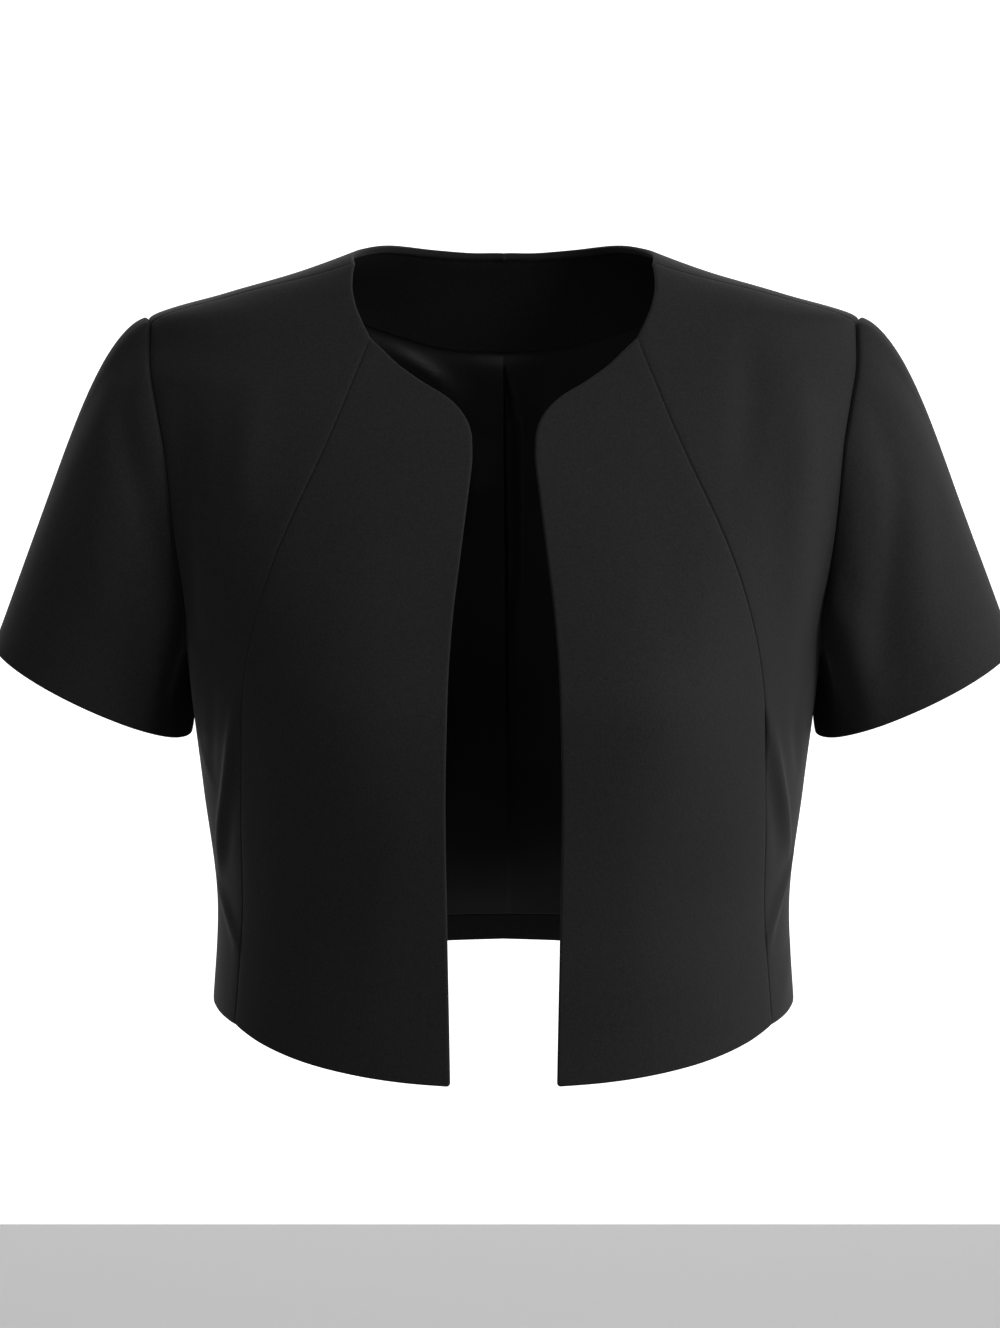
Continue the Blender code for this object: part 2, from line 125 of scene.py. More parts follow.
def settle(points, rounds=12):
    # moves points the short way onto the form
    for _ in range(rounds):
        steep = formSlope(points)
        amount = outsideForm(points) / np.maximum((steep**2).sum(-1), 1e-9)
        points = points - amount[..., None] * steep
    return points


def unit(vectors):
    return vectors / np.maximum(np.linalg.norm(vectors, axis=-1, keepdims=True), 1e-12)


def outward(points):
    return unit(formSlope(points))


def fading(distance, width):
    # 1 at no distance, and down to nothing over about two widths, in mm
    return np.exp(-((distance / (width * mm)) ** 2))


# Seams and edges of the left half, as a pattern cutter would mark them on the form.
# Front and back lines are (across, height), armholes (depth, height), top lines (across, depth).
seamTable = {
    "frontEdge": (
        (28.0, -433), (29.3, -354), (30.1, -287), (29.4, -245), (28.3, -212),
        (25.9, -182), (22.6, -156), (18.6, -125), (16.3, -106), (16.5, -93),
    ),
    "frontNeck": (
        (16.5, -93), (18.8, -86), (23.8, -79), (31, -73),
        (43, -66), (54.7, -58), (62.5, -51), (70, -44.3),
    ),
    "princess": (
        (144, -412), (140.5, -370), (138.8, -320), (138, -273), (137, -235), (133.5, -207),
        (127, -180), (117.8, -153), (107, -128.5), (98, -110), (90, -92.5), (83, -76), (70, -44.3),
    ),
    "sideNeck": ((70, -44.3), (74.5, -35.5), (78, -27.2), (80.1, -17.4), (79.4, -7.9)),
    "frontHem": ((28, -433), (54, -431.5), (80, -428.8), (107, -424.3), (130, -418), (144, -412)),
    "sideFrontHem": (-30, -409),   # its middle, as (depth, height)
    "facingEdge": ((0, -60.5), (32, -58.5), (59, -51), (80, -43.3), (104, -32.5), (119, -23.5)),
    "bandEdge": ((0, -381), (60, -382.5), (110, -387), (140, -390.5)),
    "backHem": ((0, -396), (60, -398), (110, -402.5), (140, -406)),
    "backNeck": ((0, 60.1), (19, 59.3), (38, 54.6), (52, 46.5), (65, 32.5), (74, 19), (79, 5), (80.6, -9)),
    "shoulder": ((79.4, -24.2), (100, -23.3), (126.5, -19.8), (155, -17.4), (188.3, -15.5)),
    "armholeFront": (
        (0, -214), (-16, -211), (-31, -201), (-42, -181), (-48, -154), (-49, -130),
        (-48, -113), (-45, -98), (-35, -71.5), (-22, -52.5),
    ),
    "armholeBack": (
        (0, -214), (14, -211), (30, -201), (43, -180), (50, -154), (52, -125),
        (48, -98), (36, -72), (21, -50.5), (12, -42.5), (2, -38),
    ),
    "sideHem": -408,
    "sideBand": -393,
    "underarm": -214,
    "facingAtShoulder": 2,     # the shoulder point where the facing ends
    "armholeTurn": 3,          # the armhole point where it turns up from under the arm
    "princessTurn": 11,        # the princess step that is level with the underarm
    "pleatWidth": 12,
}


def leftOver(share):
    n = bodyForm["roundness"]
    return np.maximum(1 - share**n, 0) ** (1 / n)


def onFront(table):
    across, height = np.array(table, float).T * mm
    wide = np.abs(across) / sectionAt(height, 1)
    return np.stack([across, -frontReach(across, height) * leftOver(wide), height], axis=1)


def onBack(table):
    across, height = np.array(table, float).T * mm
    wide = np.abs(across) / sectionAt(height, 1)
    return np.stack([across, sectionAt(height, 3) * leftOver(wide), height], axis=1)


def sideReach(depth, height):
    reach = np.where(depth < 0, sectionAt(height, 2), sectionAt(height, 3))
    return sectionAt(height, 1) * leftOver(np.abs(depth) / reach)


def onSide(table):
    depth, height = np.array(table, float).T * mm
    return np.stack([sideReach(depth, height), depth, height], axis=1)


def onTop(table):
    across, depth = np.array(table, float).T * mm
    low, high = np.full(len(across), -0.07), np.full(len(across), 0.005)
    for _ in range(40):
        middle = (low + high) / 2
        inside = outsideForm(np.stack([across, depth, middle], axis=1)) < 0
        low, high = np.where(inside, middle, low), np.where(inside, high, middle)
    return np.stack([across, depth, low], axis=1)


def smoothLine(points):
    ends = np.vstack([2 * points[0] - points[1], points, 2 * points[-1] - points[-2]])
    t = (np.arange(lineSamples) / lineSamples)[None, :, None]
    a, b, c, d = (ends[k : len(ends) - 3 + k, None] for k in range(4))
    line = 2 * b + (c - a) * t + (2 * a - 5 * b + 4 * c - d) * t**2 + (3 * b - a - 3 * c + d) * t**3
    return settle(np.vstack([(line / 2).reshape(-1, 3), points[-1]]))


def curveThrough(points):
    t = np.linspace(0, len(points) - 1, (len(points) - 1) * lineSamples + 1)
    return smoothAt(points[:, None], t)[:, 0]


def spaced(line, steps, first=0):
    # the line again in equal steps, after a first step of its own length if one is given
    along = np.concatenate([[0], np.cumsum(np.linalg.norm(np.diff(line, axis=0), axis=1))])
    at = np.linspace(first, along[-1], steps * lineSamples + 1)
    if first:
        at = np.concatenate([np.linspace(0, first, lineSamples + 1)[:-1], at])
    return settle(np.stack([np.interp(at, along, line[:, k]) for k in range(3)], axis=1), 4)


def joined(*lines):
    return np.vstack([lines[0]] + [line[1:] for line in lines[1:]])


def part(line, start, end=None):
    # some of a line's steps
    return line[start * lineSamples : None if end is None else end * lineSamples + 1]


def straight(start, end, steps):
    return settle(np.linspace(start, end, steps * lineSamples + 1))


def seamLines():
    table = seamTable
    top = onTop(table["shoulder"])
    split = table["facingAtShoulder"]
    neckPoint, facingPoint, shoulderPoint = top[0], top[split], top[-1]
    hemSide, bandSide = onSide([(0, table["sideHem"])]), onSide([(0, table["sideBand"])])
    sideHeights = np.linspace(table["sideBand"], table["underarm"], 10)
    foot, hemMiddle = onFront(table["princess"][:1]), onSide([table["sideFrontHem"]])
    lines = {
        "frontEdge": spaced(smoothLine(onFront(table["frontEdge"])), 18),
        "frontNeck": spaced(smoothLine(onFront(table["frontNeck"])), 8),
        "princess": spaced(smoothLine(onFront(table["princess"])), 18),
        "frontHem": spaced(smoothLine(onFront(table["frontHem"])), 8),
        "sideFrontHem": spaced(smoothLine(np.vstack([foot, hemMiddle, hemSide])), 13),
        "bandSide": spaced(smoothLine(np.vstack([hemSide, bandSide])), 2),
        "side": spaced(smoothLine(onSide([(0, h) for h in sideHeights])), 9),
        "shoulderInner": spaced(smoothLine(top[: split + 1]), 3),
        "shoulderOuter": spaced(smoothLine(top[split:]), 6),
        "sideNeck": spaced(smoothLine(np.vstack([onFront(table["sideNeck"][:-1]), neckPoint])), 3),
    }
    width = table["pleatWidth"] * mm
    for name, points, end, steps in (
        ("backNeck", onTop(table["backNeck"]), neckPoint, 7),
        ("facingEdge", onBack(table["facingEdge"]), facingPoint, 7),
        ("bandEdge", onBack(table["bandEdge"]), bandSide, 10),
        ("backHem", onBack(table["backHem"]), hemSide, 10),
    ):
        lines[name] = spaced(smoothLine(np.vstack([points, end])), steps, width)
    turn = table["armholeTurn"] * lineSamples
    for word in ("Front", "Back"):
        line = smoothLine(np.vstack([onSide(table["armhole" + word]), shoulderPoint]))
        lines["underarm" + word] = spaced(line[: turn + 1], 4)
        lines["armhole" + word] = spaced(line[turn:], 10)
    return lines


seams = seamLines()
print("seams:", len(seams), "lines")


def cuts(*runs):
    # where a grid is cut, in steps of its lines: each run is (steps, length, fine start, fine end)
    places, done = [0.0], 0
    for steps, length, fineStart, fineEnd in runs:
        near = [c * mm for c in edgeCuts if fineStart]
        far = [length - c * mm for c in reversed(edgeCuts) if fineEnd]
        low = near[-1] if near else 0
        high = far[0] if far else length
        count = max(1, round((high - low) / clothStep))
        inner = list(np.linspace(low, high, count + 1))[1:-1]
        inside = near + inner + far
        places += [done + steps * x / length for x in inside] + [done + steps]
        done += steps
    return np.array(places)


def lengthOf(line):
    return float(np.linalg.norm(np.diff(line, axis=0), axis=1).sum())


def pointsAt(line, at):
    place = np.asarray(at) * lineSamples
    return np.stack([np.interp(place, np.arange(len(line)), line[:, k]) for k in range(3)], axis=1)


def smoothAt(values, at):
    # a smooth curve through rows of values, read at places between them
    i = np.clip(at.astype(int), 0, len(values) - 2)
    t = (at - i)[:, None, None]
    ends = np.concatenate([[2 * values[0] - values[1]], values, [2 * values[-1] - values[-2]]])
    a, b, c, d = ends[i], ends[i + 1], ends[i + 2], ends[i + 3]
    return (2 * b + (c - a) * t + (2 * a - 5 * b + 4 * c - d) * t**2 + (3 * b - a - 3 * c + d) * t**3) / 2


def blended(bottom, top, near, far, across, up):
    across, up = across[:, None, None], up[None, :, None]
    corners = (1 - up) * ((1 - across) * bottom[0] + across * bottom[-1])
    corners = corners + up * ((1 - across) * top[0] + across * top[-1])
    ruled = (1 - up) * bottom[:, None] + up * top[:, None]
    return ruled + (1 - across) * near[None] + across * far[None] - corners


def patch(bottom, top, near, far, acrossCuts, upCuts):
    # a fine grid of points on the form between four lines
    coarse = [line[::lineSamples] for line in (bottom, top, near, far)]
    across, up = np.linspace(0, 1, len(coarse[0])), np.linspace(0, 1, len(coarse[2]))
    plain = blended(*coarse, across, up)
    even = settle(plain)
    for _ in range(8):
        beside = even[:-2, 1:-1] + even[2:, 1:-1] + even[1:-1, :-2] + even[1:-1, 2:]
        even[1:-1, 1:-1] = settle(beside / 4, 4)
    shift = smoothAt(even - plain, acrossCuts)
    shift = np.swapaxes(smoothAt(np.swapaxes(shift, 0, 1), upCuts), 0, 1)
    fine = [pointsAt(line, acrossCuts) for line in (bottom, top)]
    fine += [pointsAt(line, upCuts) for line in (near, far)]
    grid = blended(*fine, acrossCuts / acrossCuts[-1], upCuts / upCuts[-1])
    return settle(grid + shift, 4)


def distanceTo(points, line):
    # the distance from each point to a line, and how far along the line that is
    thin = line[:: max(1, lineSamples // 8)]
    if not np.allclose(thin[-1], line[-1]):
        thin = np.vstack([thin, line[-1]])
    starts, runs = thin[:-1], np.diff(thin, axis=0)
    lengths = np.linalg.norm(runs, axis=1)
    along = np.concatenate([[0], np.cumsum(lengths)])
    best, place = np.full(len(points), 1e9), np.zeros(len(points))
    for start, run, length, before in zip(starts, runs, lengths, along):
        if length < 1e-9:
            continue
        t = np.clip(((points - start) @ run) / length**2, 0, 1)
        away = np.linalg.norm(points - start - t[:, None] * run, axis=1)
        closer = away < best
        best = np.where(closer, away, best)
        place = np.where(closer, before + t * length, place)
    return best, place / along[-1]


def onBody(table):
    # a line on the form from (turn, height) rows: turn is 0 in front, 180 at the centre back
    rows = np.array(table, float)
    angle, height = np.radians(rows[:, 0]), rows[:, 1] * mm
    n = bodyForm["roundness"]
    sine, cosine = np.sin(angle), np.cos(angle)
    width = sectionAt(height, 1)
    across = width * np.sign(sine) * np.abs(sine) ** (2 / n)
    reach = np.where(cosine > 0, frontReach(across, height), sectionAt(height, 3))
    depth = -reach * np.sign(cosine) * np.abs(cosine) ** (2 / n)
    return settle(np.stack([across, depth, height], axis=1))


def foldLines(rows):
    return [(smoothLine(onBody(line)), width, height) for line, width, height in rows]


def foldHeight(points, folds):
    # soft ridges and troughs: rows of (points of the line, half width in mm, height in mm)
    total = np.zeros(len(points))
    for line, width, height in folds:
        away, place = distanceTo(points, line)
        total += height * mm * fading(away, width) * np.sin(np.pi * np.clip(place, 0, 1)) ** 0.8
    return total


def slowWave(points, size, seed):
    spots = (points / size).tolist()
    shift = Vector((seed * 7.3, seed * 3.1, seed * 1.7))
    return np.array([noise.noise(Vector(spot) + shift) for spot in spots])


def weld(grids):
    # one surface from grids that lie edge to edge
    mesh = bmesh.new()
    for grid in grids:
        columns, rows = grid.shape[:2]
        dots = [mesh.verts.new(p) for p in grid.reshape(-1, 3).tolist()]
        for i in range(columns - 1):
            for j in range(rows - 1):
                a, b = i * rows + j, (i + 1) * rows + j
                mesh.faces.new((dots[a], dots[b], dots[b + 1], dots[a + 1]))
    bmesh.ops.remove_doubles(mesh, verts=mesh.verts, dist=gridsMeet * mm)
    mesh.verts.index_update()
    points = np.array([v.co[:] for v in mesh.verts])
    faces = [tuple(v.index for v in f.verts) for f in mesh.faces]
    mesh.free()
    return points, faces


def rimEdges(faces):
    edges = {(a, b) for face in faces for a, b in zip(face, face[1:] + face[:1])}
    return sorted(edge for edge in edges if edge[::-1] not in edges)


def makeWall(name, outer, inner, faces, grain, material, side):
    # a closed thin shell between an outer and an inner skin
    count = len(outer)
    walls = list(faces) + [tuple(n + count for n in face[::-1]) for face in faces]
    walls += [(b, a, a + count, b + count) for a, b in rimEdges(faces)]
    points = np.vstack([outer, inner])
    if side < 0:
        points = points * np.array([-1, 1, 1])
        walls = [face[::-1] for face in walls]
    points = points + np.array([0, 0, neckAboveOrigin])
    mesh = bpy.data.meshes.new(name)
    mesh.from_pydata(points.tolist(), [], walls)
    threads = mesh.uv_layers.new(name="threads")
    both = np.vstack([grain, grain])
    corner = np.zeros(len(mesh.loops), np.int32)
    mesh.loops.foreach_get("vertex_index", corner)
    threads.data.foreach_set("uv", both[corner].astype(np.float32).ravel())
    merged = bmesh.new()
    merged.from_mesh(mesh)
    bmesh.ops.remove_doubles(merged, verts=merged.verts, dist=skinsMeet * mm)
    merged.to_mesh(mesh)
    merged.free()
    mesh.materials.append(material)
    mesh.shade_smooth()
    piece = bpy.data.objects.new(name, mesh)
    bpy.context.scene.collection.objects.link(piece)
    return piece


# How the cloth behaves at its seams and edges, in mm
clothWall = {
    "thickness": 1.5,
    "edgeThickness": 2.4,      # folded over its facing or hem
    "edgeBlend": 9,            # how fast it thins out from the edge
    "rollThickness": 4.0,      # turned over the back neck, onto the facing
    "rollDepth": 3.0,
    "rollRound": 3.4,
    "rollSlant": 1.9,
    "cornerRound": 2.2,        # the bottom corners of the fronts
    "seamWidth": 0.55,
    "seamHold": 1.2,           # the inside keeps its place this close to a seam
    "quietShare": 0.8, "edgeQuiet": 4,   # seams fade where they cross an edge
    # how deep each seam is drawn in
    "seamDepth": {
        "princess": 0.5, "side": 0.6, "bandSide": 0.4, "centreBack": 0.6,
        "shoulderInner": 0.25, "shoulderOuter": 0.3, "underarmFront": 0.8, "underarmBack": 0.8,
        "armholeFront": 1.2, "armholeBack": 1.2,
    },
    "allowance": 0.12,         # the pressed seam allowance underneath
    "allowanceWidth": 9,
    "wave": 0.5,               # the slow unevenness of the cloth
    "waveSize": 80,
    "waveFade": 18,
    "threadRadius": 140,       # cloth for each radian round the body
}


def grainOf(points):
    # thread coordinates in metres: round the body and up it
    turn = np.arctan2(points[:, 0], -points[:, 1])
    return np.stack([clothWall["threadRadius"] * mm * turn, points[:, 2]], axis=1)


def thicknessAt(toEdge):
    wall = clothWall
    more = wall["edgeThickness"] - wall["thickness"]
    return wall["thickness"] + more * fading(toEdge, wall["edgeBlend"])


def edgeRound(toEdge, half):
    # how far each skin is turned in, so that an edge is round
    near = np.clip(1 - toEdge / half, 0, 1)
    return half * (1 - np.sqrt(np.maximum(1 - near**2, 0)))


def roundCorner(points, upward, sideways):
    # draws a square corner in to a quarter circle
    size = clothWall["cornerRound"] * mm
    corner = upward[0]
    up, along = unit(upward[lineSamples] - corner), unit(sideways[lineSamples] - corner)
    fromCorner = points - corner
    rest = np.stack([size - fromCorner @ along, size - fromCorner @ up], axis=1)
    inCorner = (rest > 0).all(axis=1)
    share = 1 - rest.max(axis=1) / np.maximum(np.linalg.norm(rest, axis=1), 1e-9)
    shift = rest * (share * inCorner)[:, None]
    return points + shift[:, :1] * along + shift[:, 1:] * up


def clothPanel(name, grids, word, side, panel, seamNames, edgeNames):
    points, faces = weld(grids)
    normals = outward(points)
    wall = clothWall
    seamsAway = {s: distanceTo(points, seams[s])[0] for s in seamNames}
    toSeam = np.min(list(seamsAway.values()), axis=0)
    toEdge = np.min([distanceTo(points, seams[s])[0] for s in edgeNames], axis=0)
    dips = [wall["seamDepth"][s] * fading(away, wall["seamWidth"]) for s, away in seamsAway.items()]
    outer = -np.max(dips, axis=0) * mm * (1 - wall["quietShare"] * fading(toEdge, wall["edgeQuiet"]))
    press = toSeam / (wall["allowanceWidth"] * mm)
    outer += wall["allowance"] * mm * np.exp(-(press**4)) * (1 - np.exp(-((press * 3) ** 2)))
    wave = slowWave(points, wall["waveSize"] * mm, panel["waveSeed"] + (side < 0))
    outer += wall["wave"] * mm * wave * (1 - fading(toSeam, wall["waveFade"]))
    outer += foldHeight(points, foldLines(panel[word + "Folds"]))
    thick = thicknessAt(toEdge)
    rolled = "backNeck" in edgeNames
    if rolled:
        toNeck = distanceTo(points, seams["backNeck"])[0] / (wall["rollDepth"] * mm)
        thick = thick + (wall["rollThickness"] - thick) * np.clip(3 - 2 * toNeck, 0, 1)
    half = thick * mm / 2
    dip = edgeRound(toEdge, half)
    under = dip
    if rolled:
        slant = np.clip(1 - toNeck * wall["rollDepth"] / wall["rollRound"], 0, 1)
        under = np.maximum(dip, wall["rollSlant"] * mm * slant)
    inner = outer - thick * mm + under
    held = (toSeam < wall["seamHold"] * mm) & (toEdge > half)
    inner = np.where(held, np.minimum(inner, -thick * mm), inner)
    outer = outer - dip
    grain = grainOf(points)
    if "frontHem" in edgeNames:
        points = roundCorner(points, seams["frontEdge"], seams["frontHem"])
    outerPoints = points + outer[:, None] * normals
    innerPoints = points + inner[:, None] * normals
    return makeWall(name, outerPoints, innerPoints, faces, grain, blackCloth, side)


# What all the cloths share: slow clouds of colour, and how the threads waver
clothLook = {
    "fleckDetail": 3,
    "cloudScale": 14, "cloudDetail": 2, "cloudShare": 0.25,
    "darkAt": 0.38, "lightAt": 0.88,
    "threadWaver": 0.8, "waverScale": 2,
    "sheenTint": (1, 1, 1, 1),
}


def clothMaterial(name, look):
    made = bpy.data.materials.new(name)
    made.use_nodes = True
    nodes, links = made.node_tree.nodes, made.node_tree.links
    shader = nodes["Principled BSDF"]
    shader.inputs["Roughness"].default_value = look["roughness"]
    shader.inputs["Specular IOR Level"].default_value = look["specular"]
    shader.inputs["Sheen Weight"].default_value = look["sheen"]
    shader.inputs["Sheen Roughness"].default_value = look["sheenRoughness"]
    shader.inputs["Sheen Tint"].default_value = clothLook["sheenTint"]
    place = nodes.new("ShaderNodeTexCoord")
    fleck = nodes.new("ShaderNodeTexNoise")
    fleck.inputs["Scale"].default_value = look["fleckScale"]
    fleck.inputs["Detail"].default_value = clothLook["fleckDetail"]
    links.new(place.outputs["Object"], fleck.inputs["Vector"])
    cloud = nodes.new("ShaderNodeTexNoise")
    cloud.inputs["Scale"].default_value = clothLook["cloudScale"]
    cloud.inputs["Detail"].default_value = clothLook["cloudDetail"]
    links.new(place.outputs["Object"], cloud.inputs["Vector"])
    both = nodes.new("ShaderNodeMath")
    both.operation = "MULTIPLY_ADD"
    both.inputs[1].default_value = clothLook["cloudShare"]
    links.new(cloud.outputs["Fac"], both.inputs[0])
    links.new(fleck.outputs["Fac"], both.inputs[2])
    colours = nodes.new("ShaderNodeValToRGB")
    colours.color_ramp.elements[0].position = clothLook["darkAt"]
    colours.color_ramp.elements[0].color = look["dark"]
    colours.color_ramp.elements[1].position = clothLook["lightAt"]
    colours.color_ramp.elements[1].color = look["light"]
    links.new(both.outputs[0], colours.inputs["Fac"])
    links.new(colours.outputs["Color"], shader.inputs["Base Color"])
    warp = nodes.new("ShaderNodeTexWave")
    warp.bands_direction = "X"
    weft = nodes.new("ShaderNodeTexWave")
    weft.bands_direction = "Y"
    for threads in (warp, weft):
        threads.inputs["Scale"].default_value = look["threadScale"]
        threads.inputs["Distortion"].default_value = clothLook["threadWaver"]
        threads.inputs["Detail Scale"].default_value = clothLook["waverScale"]
        links.new(place.outputs["UV"], threads.inputs["Vector"])
    cross = nodes.new("ShaderNodeMath")
    cross.operation = "MULTIPLY"
    links.new(warp.outputs["Fac"], cross.inputs[0])
    links.new(weft.outputs["Fac"], cross.inputs[1])
    relief = nodes.new("ShaderNodeMath")
    relief.operation = "MULTIPLY_ADD"
    relief.inputs[1].default_value = look["threadShare"]
    links.new(cross.outputs[0], relief.inputs[0])
    links.new(fleck.outputs["Fac"], relief.inputs[2])
    bump = nodes.new("ShaderNodeBump")
    bump.inputs["Strength"].default_value = look["bump"]
    bump.inputs["Distance"].default_value = look["bumpHeight"]
    links.new(relief.outputs[0], bump.inputs["Height"])
    links.new(bump.outputs["Normal"], shader.inputs["Normal"])
    return made


blackCloth = clothMaterial("blackCrepe", {
    "dark": (0.0036, 0.0036, 0.0036, 1),
    "light": (0.0092, 0.0092, 0.0092, 1),
    "roughness": 0.8,
    "specular": 0.16,
    "sheen": 0.035,
    "sheenRoughness": 0.45,
    "fleckScale": 900,
    "threadScale": 500,
    "threadShare": 0.4,
    "bump": 0.35,
    "bumpHeight": 0.0002,
})
facingCloth = clothMaterial("facingCrepe", {
    "dark": (0.0040, 0.0040, 0.0040, 1),
    "light": (0.0075, 0.0075, 0.0075, 1),
    "roughness": 0.85,
    "specular": 0.08,
    "sheen": 0.01,
    "sheenRoughness": 0.5,
    "fleckScale": 900,
    "threadScale": 500,
    "threadShare": 0.4,
    "bump": 0.3,
    "bumpHeight": 0.0002,
})
liningSatin = clothMaterial("liningSatin", {
    "dark": (0.0006, 0.0006, 0.0006, 1),
    "light": (0.0012, 0.0012, 0.0012, 1),
    "roughness": 0.52,
    "specular": 0.22,
    "sheen": 0.0,
    "sheenRoughness": 0.3,
    "fleckScale": 500,
    "threadScale": 900,
    "threadShare": 0.5,
    "bump": 0.12,
    "bumpHeight": 0.0001,
})
print("materials: crepe, facing, satin")


def declare(piece, node):
    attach(piece, "root")
    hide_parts(node)


# Front panels. Each panel's dictionary has the size of its cut in metres, and its folds.
frontPanel = {
    "flat": (0.133, 0.400),
    "area": 0.0410,
    "waveSeed": 1,
    # folds: points (turn round the body in degrees, height in mm), half width and height in mm
    "leftFolds": (
        (((20, -110), (24, -170), (30, -230)), 16, -0.7),
        (((16, -250), (22, -330), (24, -425)), 18, 0.5),
    ),
    "rightFolds": (
        (((22, -100), (27, -160), (34, -220)), 18, -0.6),
        (((14, -270), (20, -350), (25, -420)), 15, 0.6),
    ),
}


def frontCentre(word, side):
    columns = cuts((8, lengthOf(seams["frontHem"]), True, True))
    rows = cuts((18, lengthOf(seams["princess"]), True, True))
    edge, princess = seams["frontEdge"], seams["princess"]
    grid = patch(seams["frontHem"], seams["frontNeck"], edge, princess, columns, rows)
    piece = clothPanel(
        "clothFrontCentre_" + word, [grid], word, side, frontPanel,
        ["princess"], ["frontEdge", "frontNeck", "frontHem"],
    )
    declare(piece, "front_centre_" + word)


sidePanel = {
    "flat": (0.135, 0.425),
    "area": 0.0354,
    "waveSeed": 3,
    "leftFolds": (
        (((40, -36), (36, -77), (35, -122)), 9, -1.8),
        (((48, -52), (49, -103), (52, -150), (60, -212)), 12, 2.6),
        (((50, -234), (57, -266), (62, -287), (68, -308), (74, -326)), 4.6, 3.3),
        (((62, -228), (66, -252), (72, -280)), 6, -1.3),
        (((54, -268), (60, -299), (66, -326)), 5, -0.9),
        (((80, -318), (74, -333), (67, -350), (61, -372)), 4.4, 2.0),
        (((84, -372), (76, -386), (66, -404)), 6, 0.7),
    ),
    "rightFolds": (
        (((37, -62), (38, -97), (42, -140)), 10, 2.0),
        (((52, -66), (57, -119), (63, -162), (72, -210)), 12, -3.2),
        (((52, -230), (58, -269), (62, -289), (68, -311), (75, -336)), 4.8, 3.8),
        (((60, -225), (66, -258), (69, -282)), 6, -1.1),
        (((78, -256), (68, -284)), 4, 0.7),
        (((59, -280), (63, -305), (68, -330)), 5, -0.8),
        (((79, -334), (75, -343), (70, -352), (61, -374)), 4.2, 1.8),
    ),
}


def frontSide(word, side):
    # one grid below the level of the underarm and one above it
    turn = seamTable["princessTurn"]
    lowPrincess, highPrincess = part(seams["princess"], 0, turn), part(seams["princess"], turn)
    shoulder = joined(seams["shoulderInner"], seams["shoulderOuter"])
    across = straight(highPrincess[0], seams["armholeFront"][0], 9)
    wideRun = (9, lengthOf(across), True, True)
    columns = cuts(wideRun, (4, lengthOf(seams["underarmFront"]), True, True))
    rows = cuts((2, lengthOf(seams["bandSide"]), True, False), (9, lengthOf(seams["side"]), False, True))
    upper = cuts((7, lengthOf(highPrincess), False, True), (3, lengthOf(seams["sideNeck"]), True, True))
    below = patch(
        seams["sideFrontHem"], joined(across, seams["underarmFront"][::-1]),
        lowPrincess, joined(seams["bandSide"], seams["side"]), columns, rows,
    )
    above = patch(
        across, shoulder, joined(highPrincess, seams["sideNeck"]),
        seams["armholeFront"], cuts(wideRun), upper,
    )
    piece = clothPanel(
        "clothFrontSide_" + word, [below, above], word, side, sidePanel,
        ["princess", "side", "bandSide", "underarmFront", "armholeFront", "shoulderInner", "shoulderOuter"],
        ["sideNeck", "sideFrontHem"],
    )
    declare(piece, "front_side_" + word)


backPanel = {
    "flat": (0.240, 0.475),
    "area": 0.0895,
    "waveSeed": 5,
    "leftFolds": (
        (((128, -50), (126, -110), (130, -170)), 13, -1.4),
        (((96, -322), (108, -300), (124, -270), (134, -240)), 5.5, 1.5),
        (((94, -262), (106, -276), (118, -262)), 6, -1.1),
        (((96, -322), (110, -346), (128, -362)), 5, 1.2),
        (((170, -300), (160, -330), (148, -350)), 12, 0.9),
        (((98, -352), (110, -372), (122, -390)), 8, 0.9),
    ),
    "rightFolds": (
        (((126, -55), (124, -105), (129, -165)), 12, -1.5),
        (((95, -330), (110, -304), (122, -278), (136, -232)), 5, 1.6),
        (((94, -250), (108, -270), (121, -252)), 7, -1.2),
        (((95, -330), (112, -350), (126, -358)), 5, 1.1),
        (((172, -290), (162, -318), (150, -342)), 11, 1.0),
        (((97, -346), (112, -368), (126, -384)), 8, 0.8),
    ),
}


def backGrids():
    hem, bandEdge = seams["backHem"], seams["bandEdge"]
    facingEdge, neck = seams["facingEdge"], seams["backNeck"]
    low, high = straight(hem[0], bandEdge[0], 2), straight(facingEdge[0], neck[0], 3)
    centre = straight(bandEdge[0], facingEdge[0], 12)
    pleat = straight(part(bandEdge, 1)[0], part(facingEdge, 1)[0], 12)
    across = straight(part(pleat, 9)[0], seams["armholeBack"][0], 6)
    wide = lengthOf(across)
    pleatRun = (1, seamTable["pleatWidth"] * mm, True, False)
    wideRun, underRun = (6, wide, True, True), (4, lengthOf(seams["underarmBack"]), True, True)
    sideRun = (9, lengthOf(seams["side"]), True, True)
    midRun = (3, lengthOf(part(pleat, 9)), False, True)
    neckRun = (7, lengthOf(part(facingEdge, 1)), False, True)
    bandRun = (2, lengthOf(seams["bandSide"]), True, True)
    facedRun = (3, lengthOf(seams["shoulderInner"]), True, True)
    band = patch(hem, bandEdge, low, seams["bandSide"],
                 cuts(pleatRun, wideRun, underRun), cuts(bandRun))
    pleated = patch(part(bandEdge, 0, 1), part(facingEdge, 0, 1), centre, pleat,
                    cuts(pleatRun), cuts(sideRun, midRun))
    below = patch(part(bandEdge, 1), joined(across, seams["underarmBack"][::-1]), part(pleat, 0, 9),
                  seams["side"], cuts(wideRun, underRun), cuts(sideRun))
    above = patch(across, seams["shoulderOuter"], joined(part(pleat, 9), part(facingEdge, 1)),
                  seams["armholeBack"], cuts(wideRun), cuts(midRun, neckRun))
    faced = patch(facingEdge, neck, high, seams["shoulderInner"][::-1],
                  cuts(pleatRun, neckRun), cuts(facedRun))
    layers = {"band": [band], "lined": [pleated, below, above], "faced": [faced]}
    seams["centreBack"] = joined(low, centre, high)
    return {name: [grid[::-1] for grid in grids] for name, grids in layers.items()}


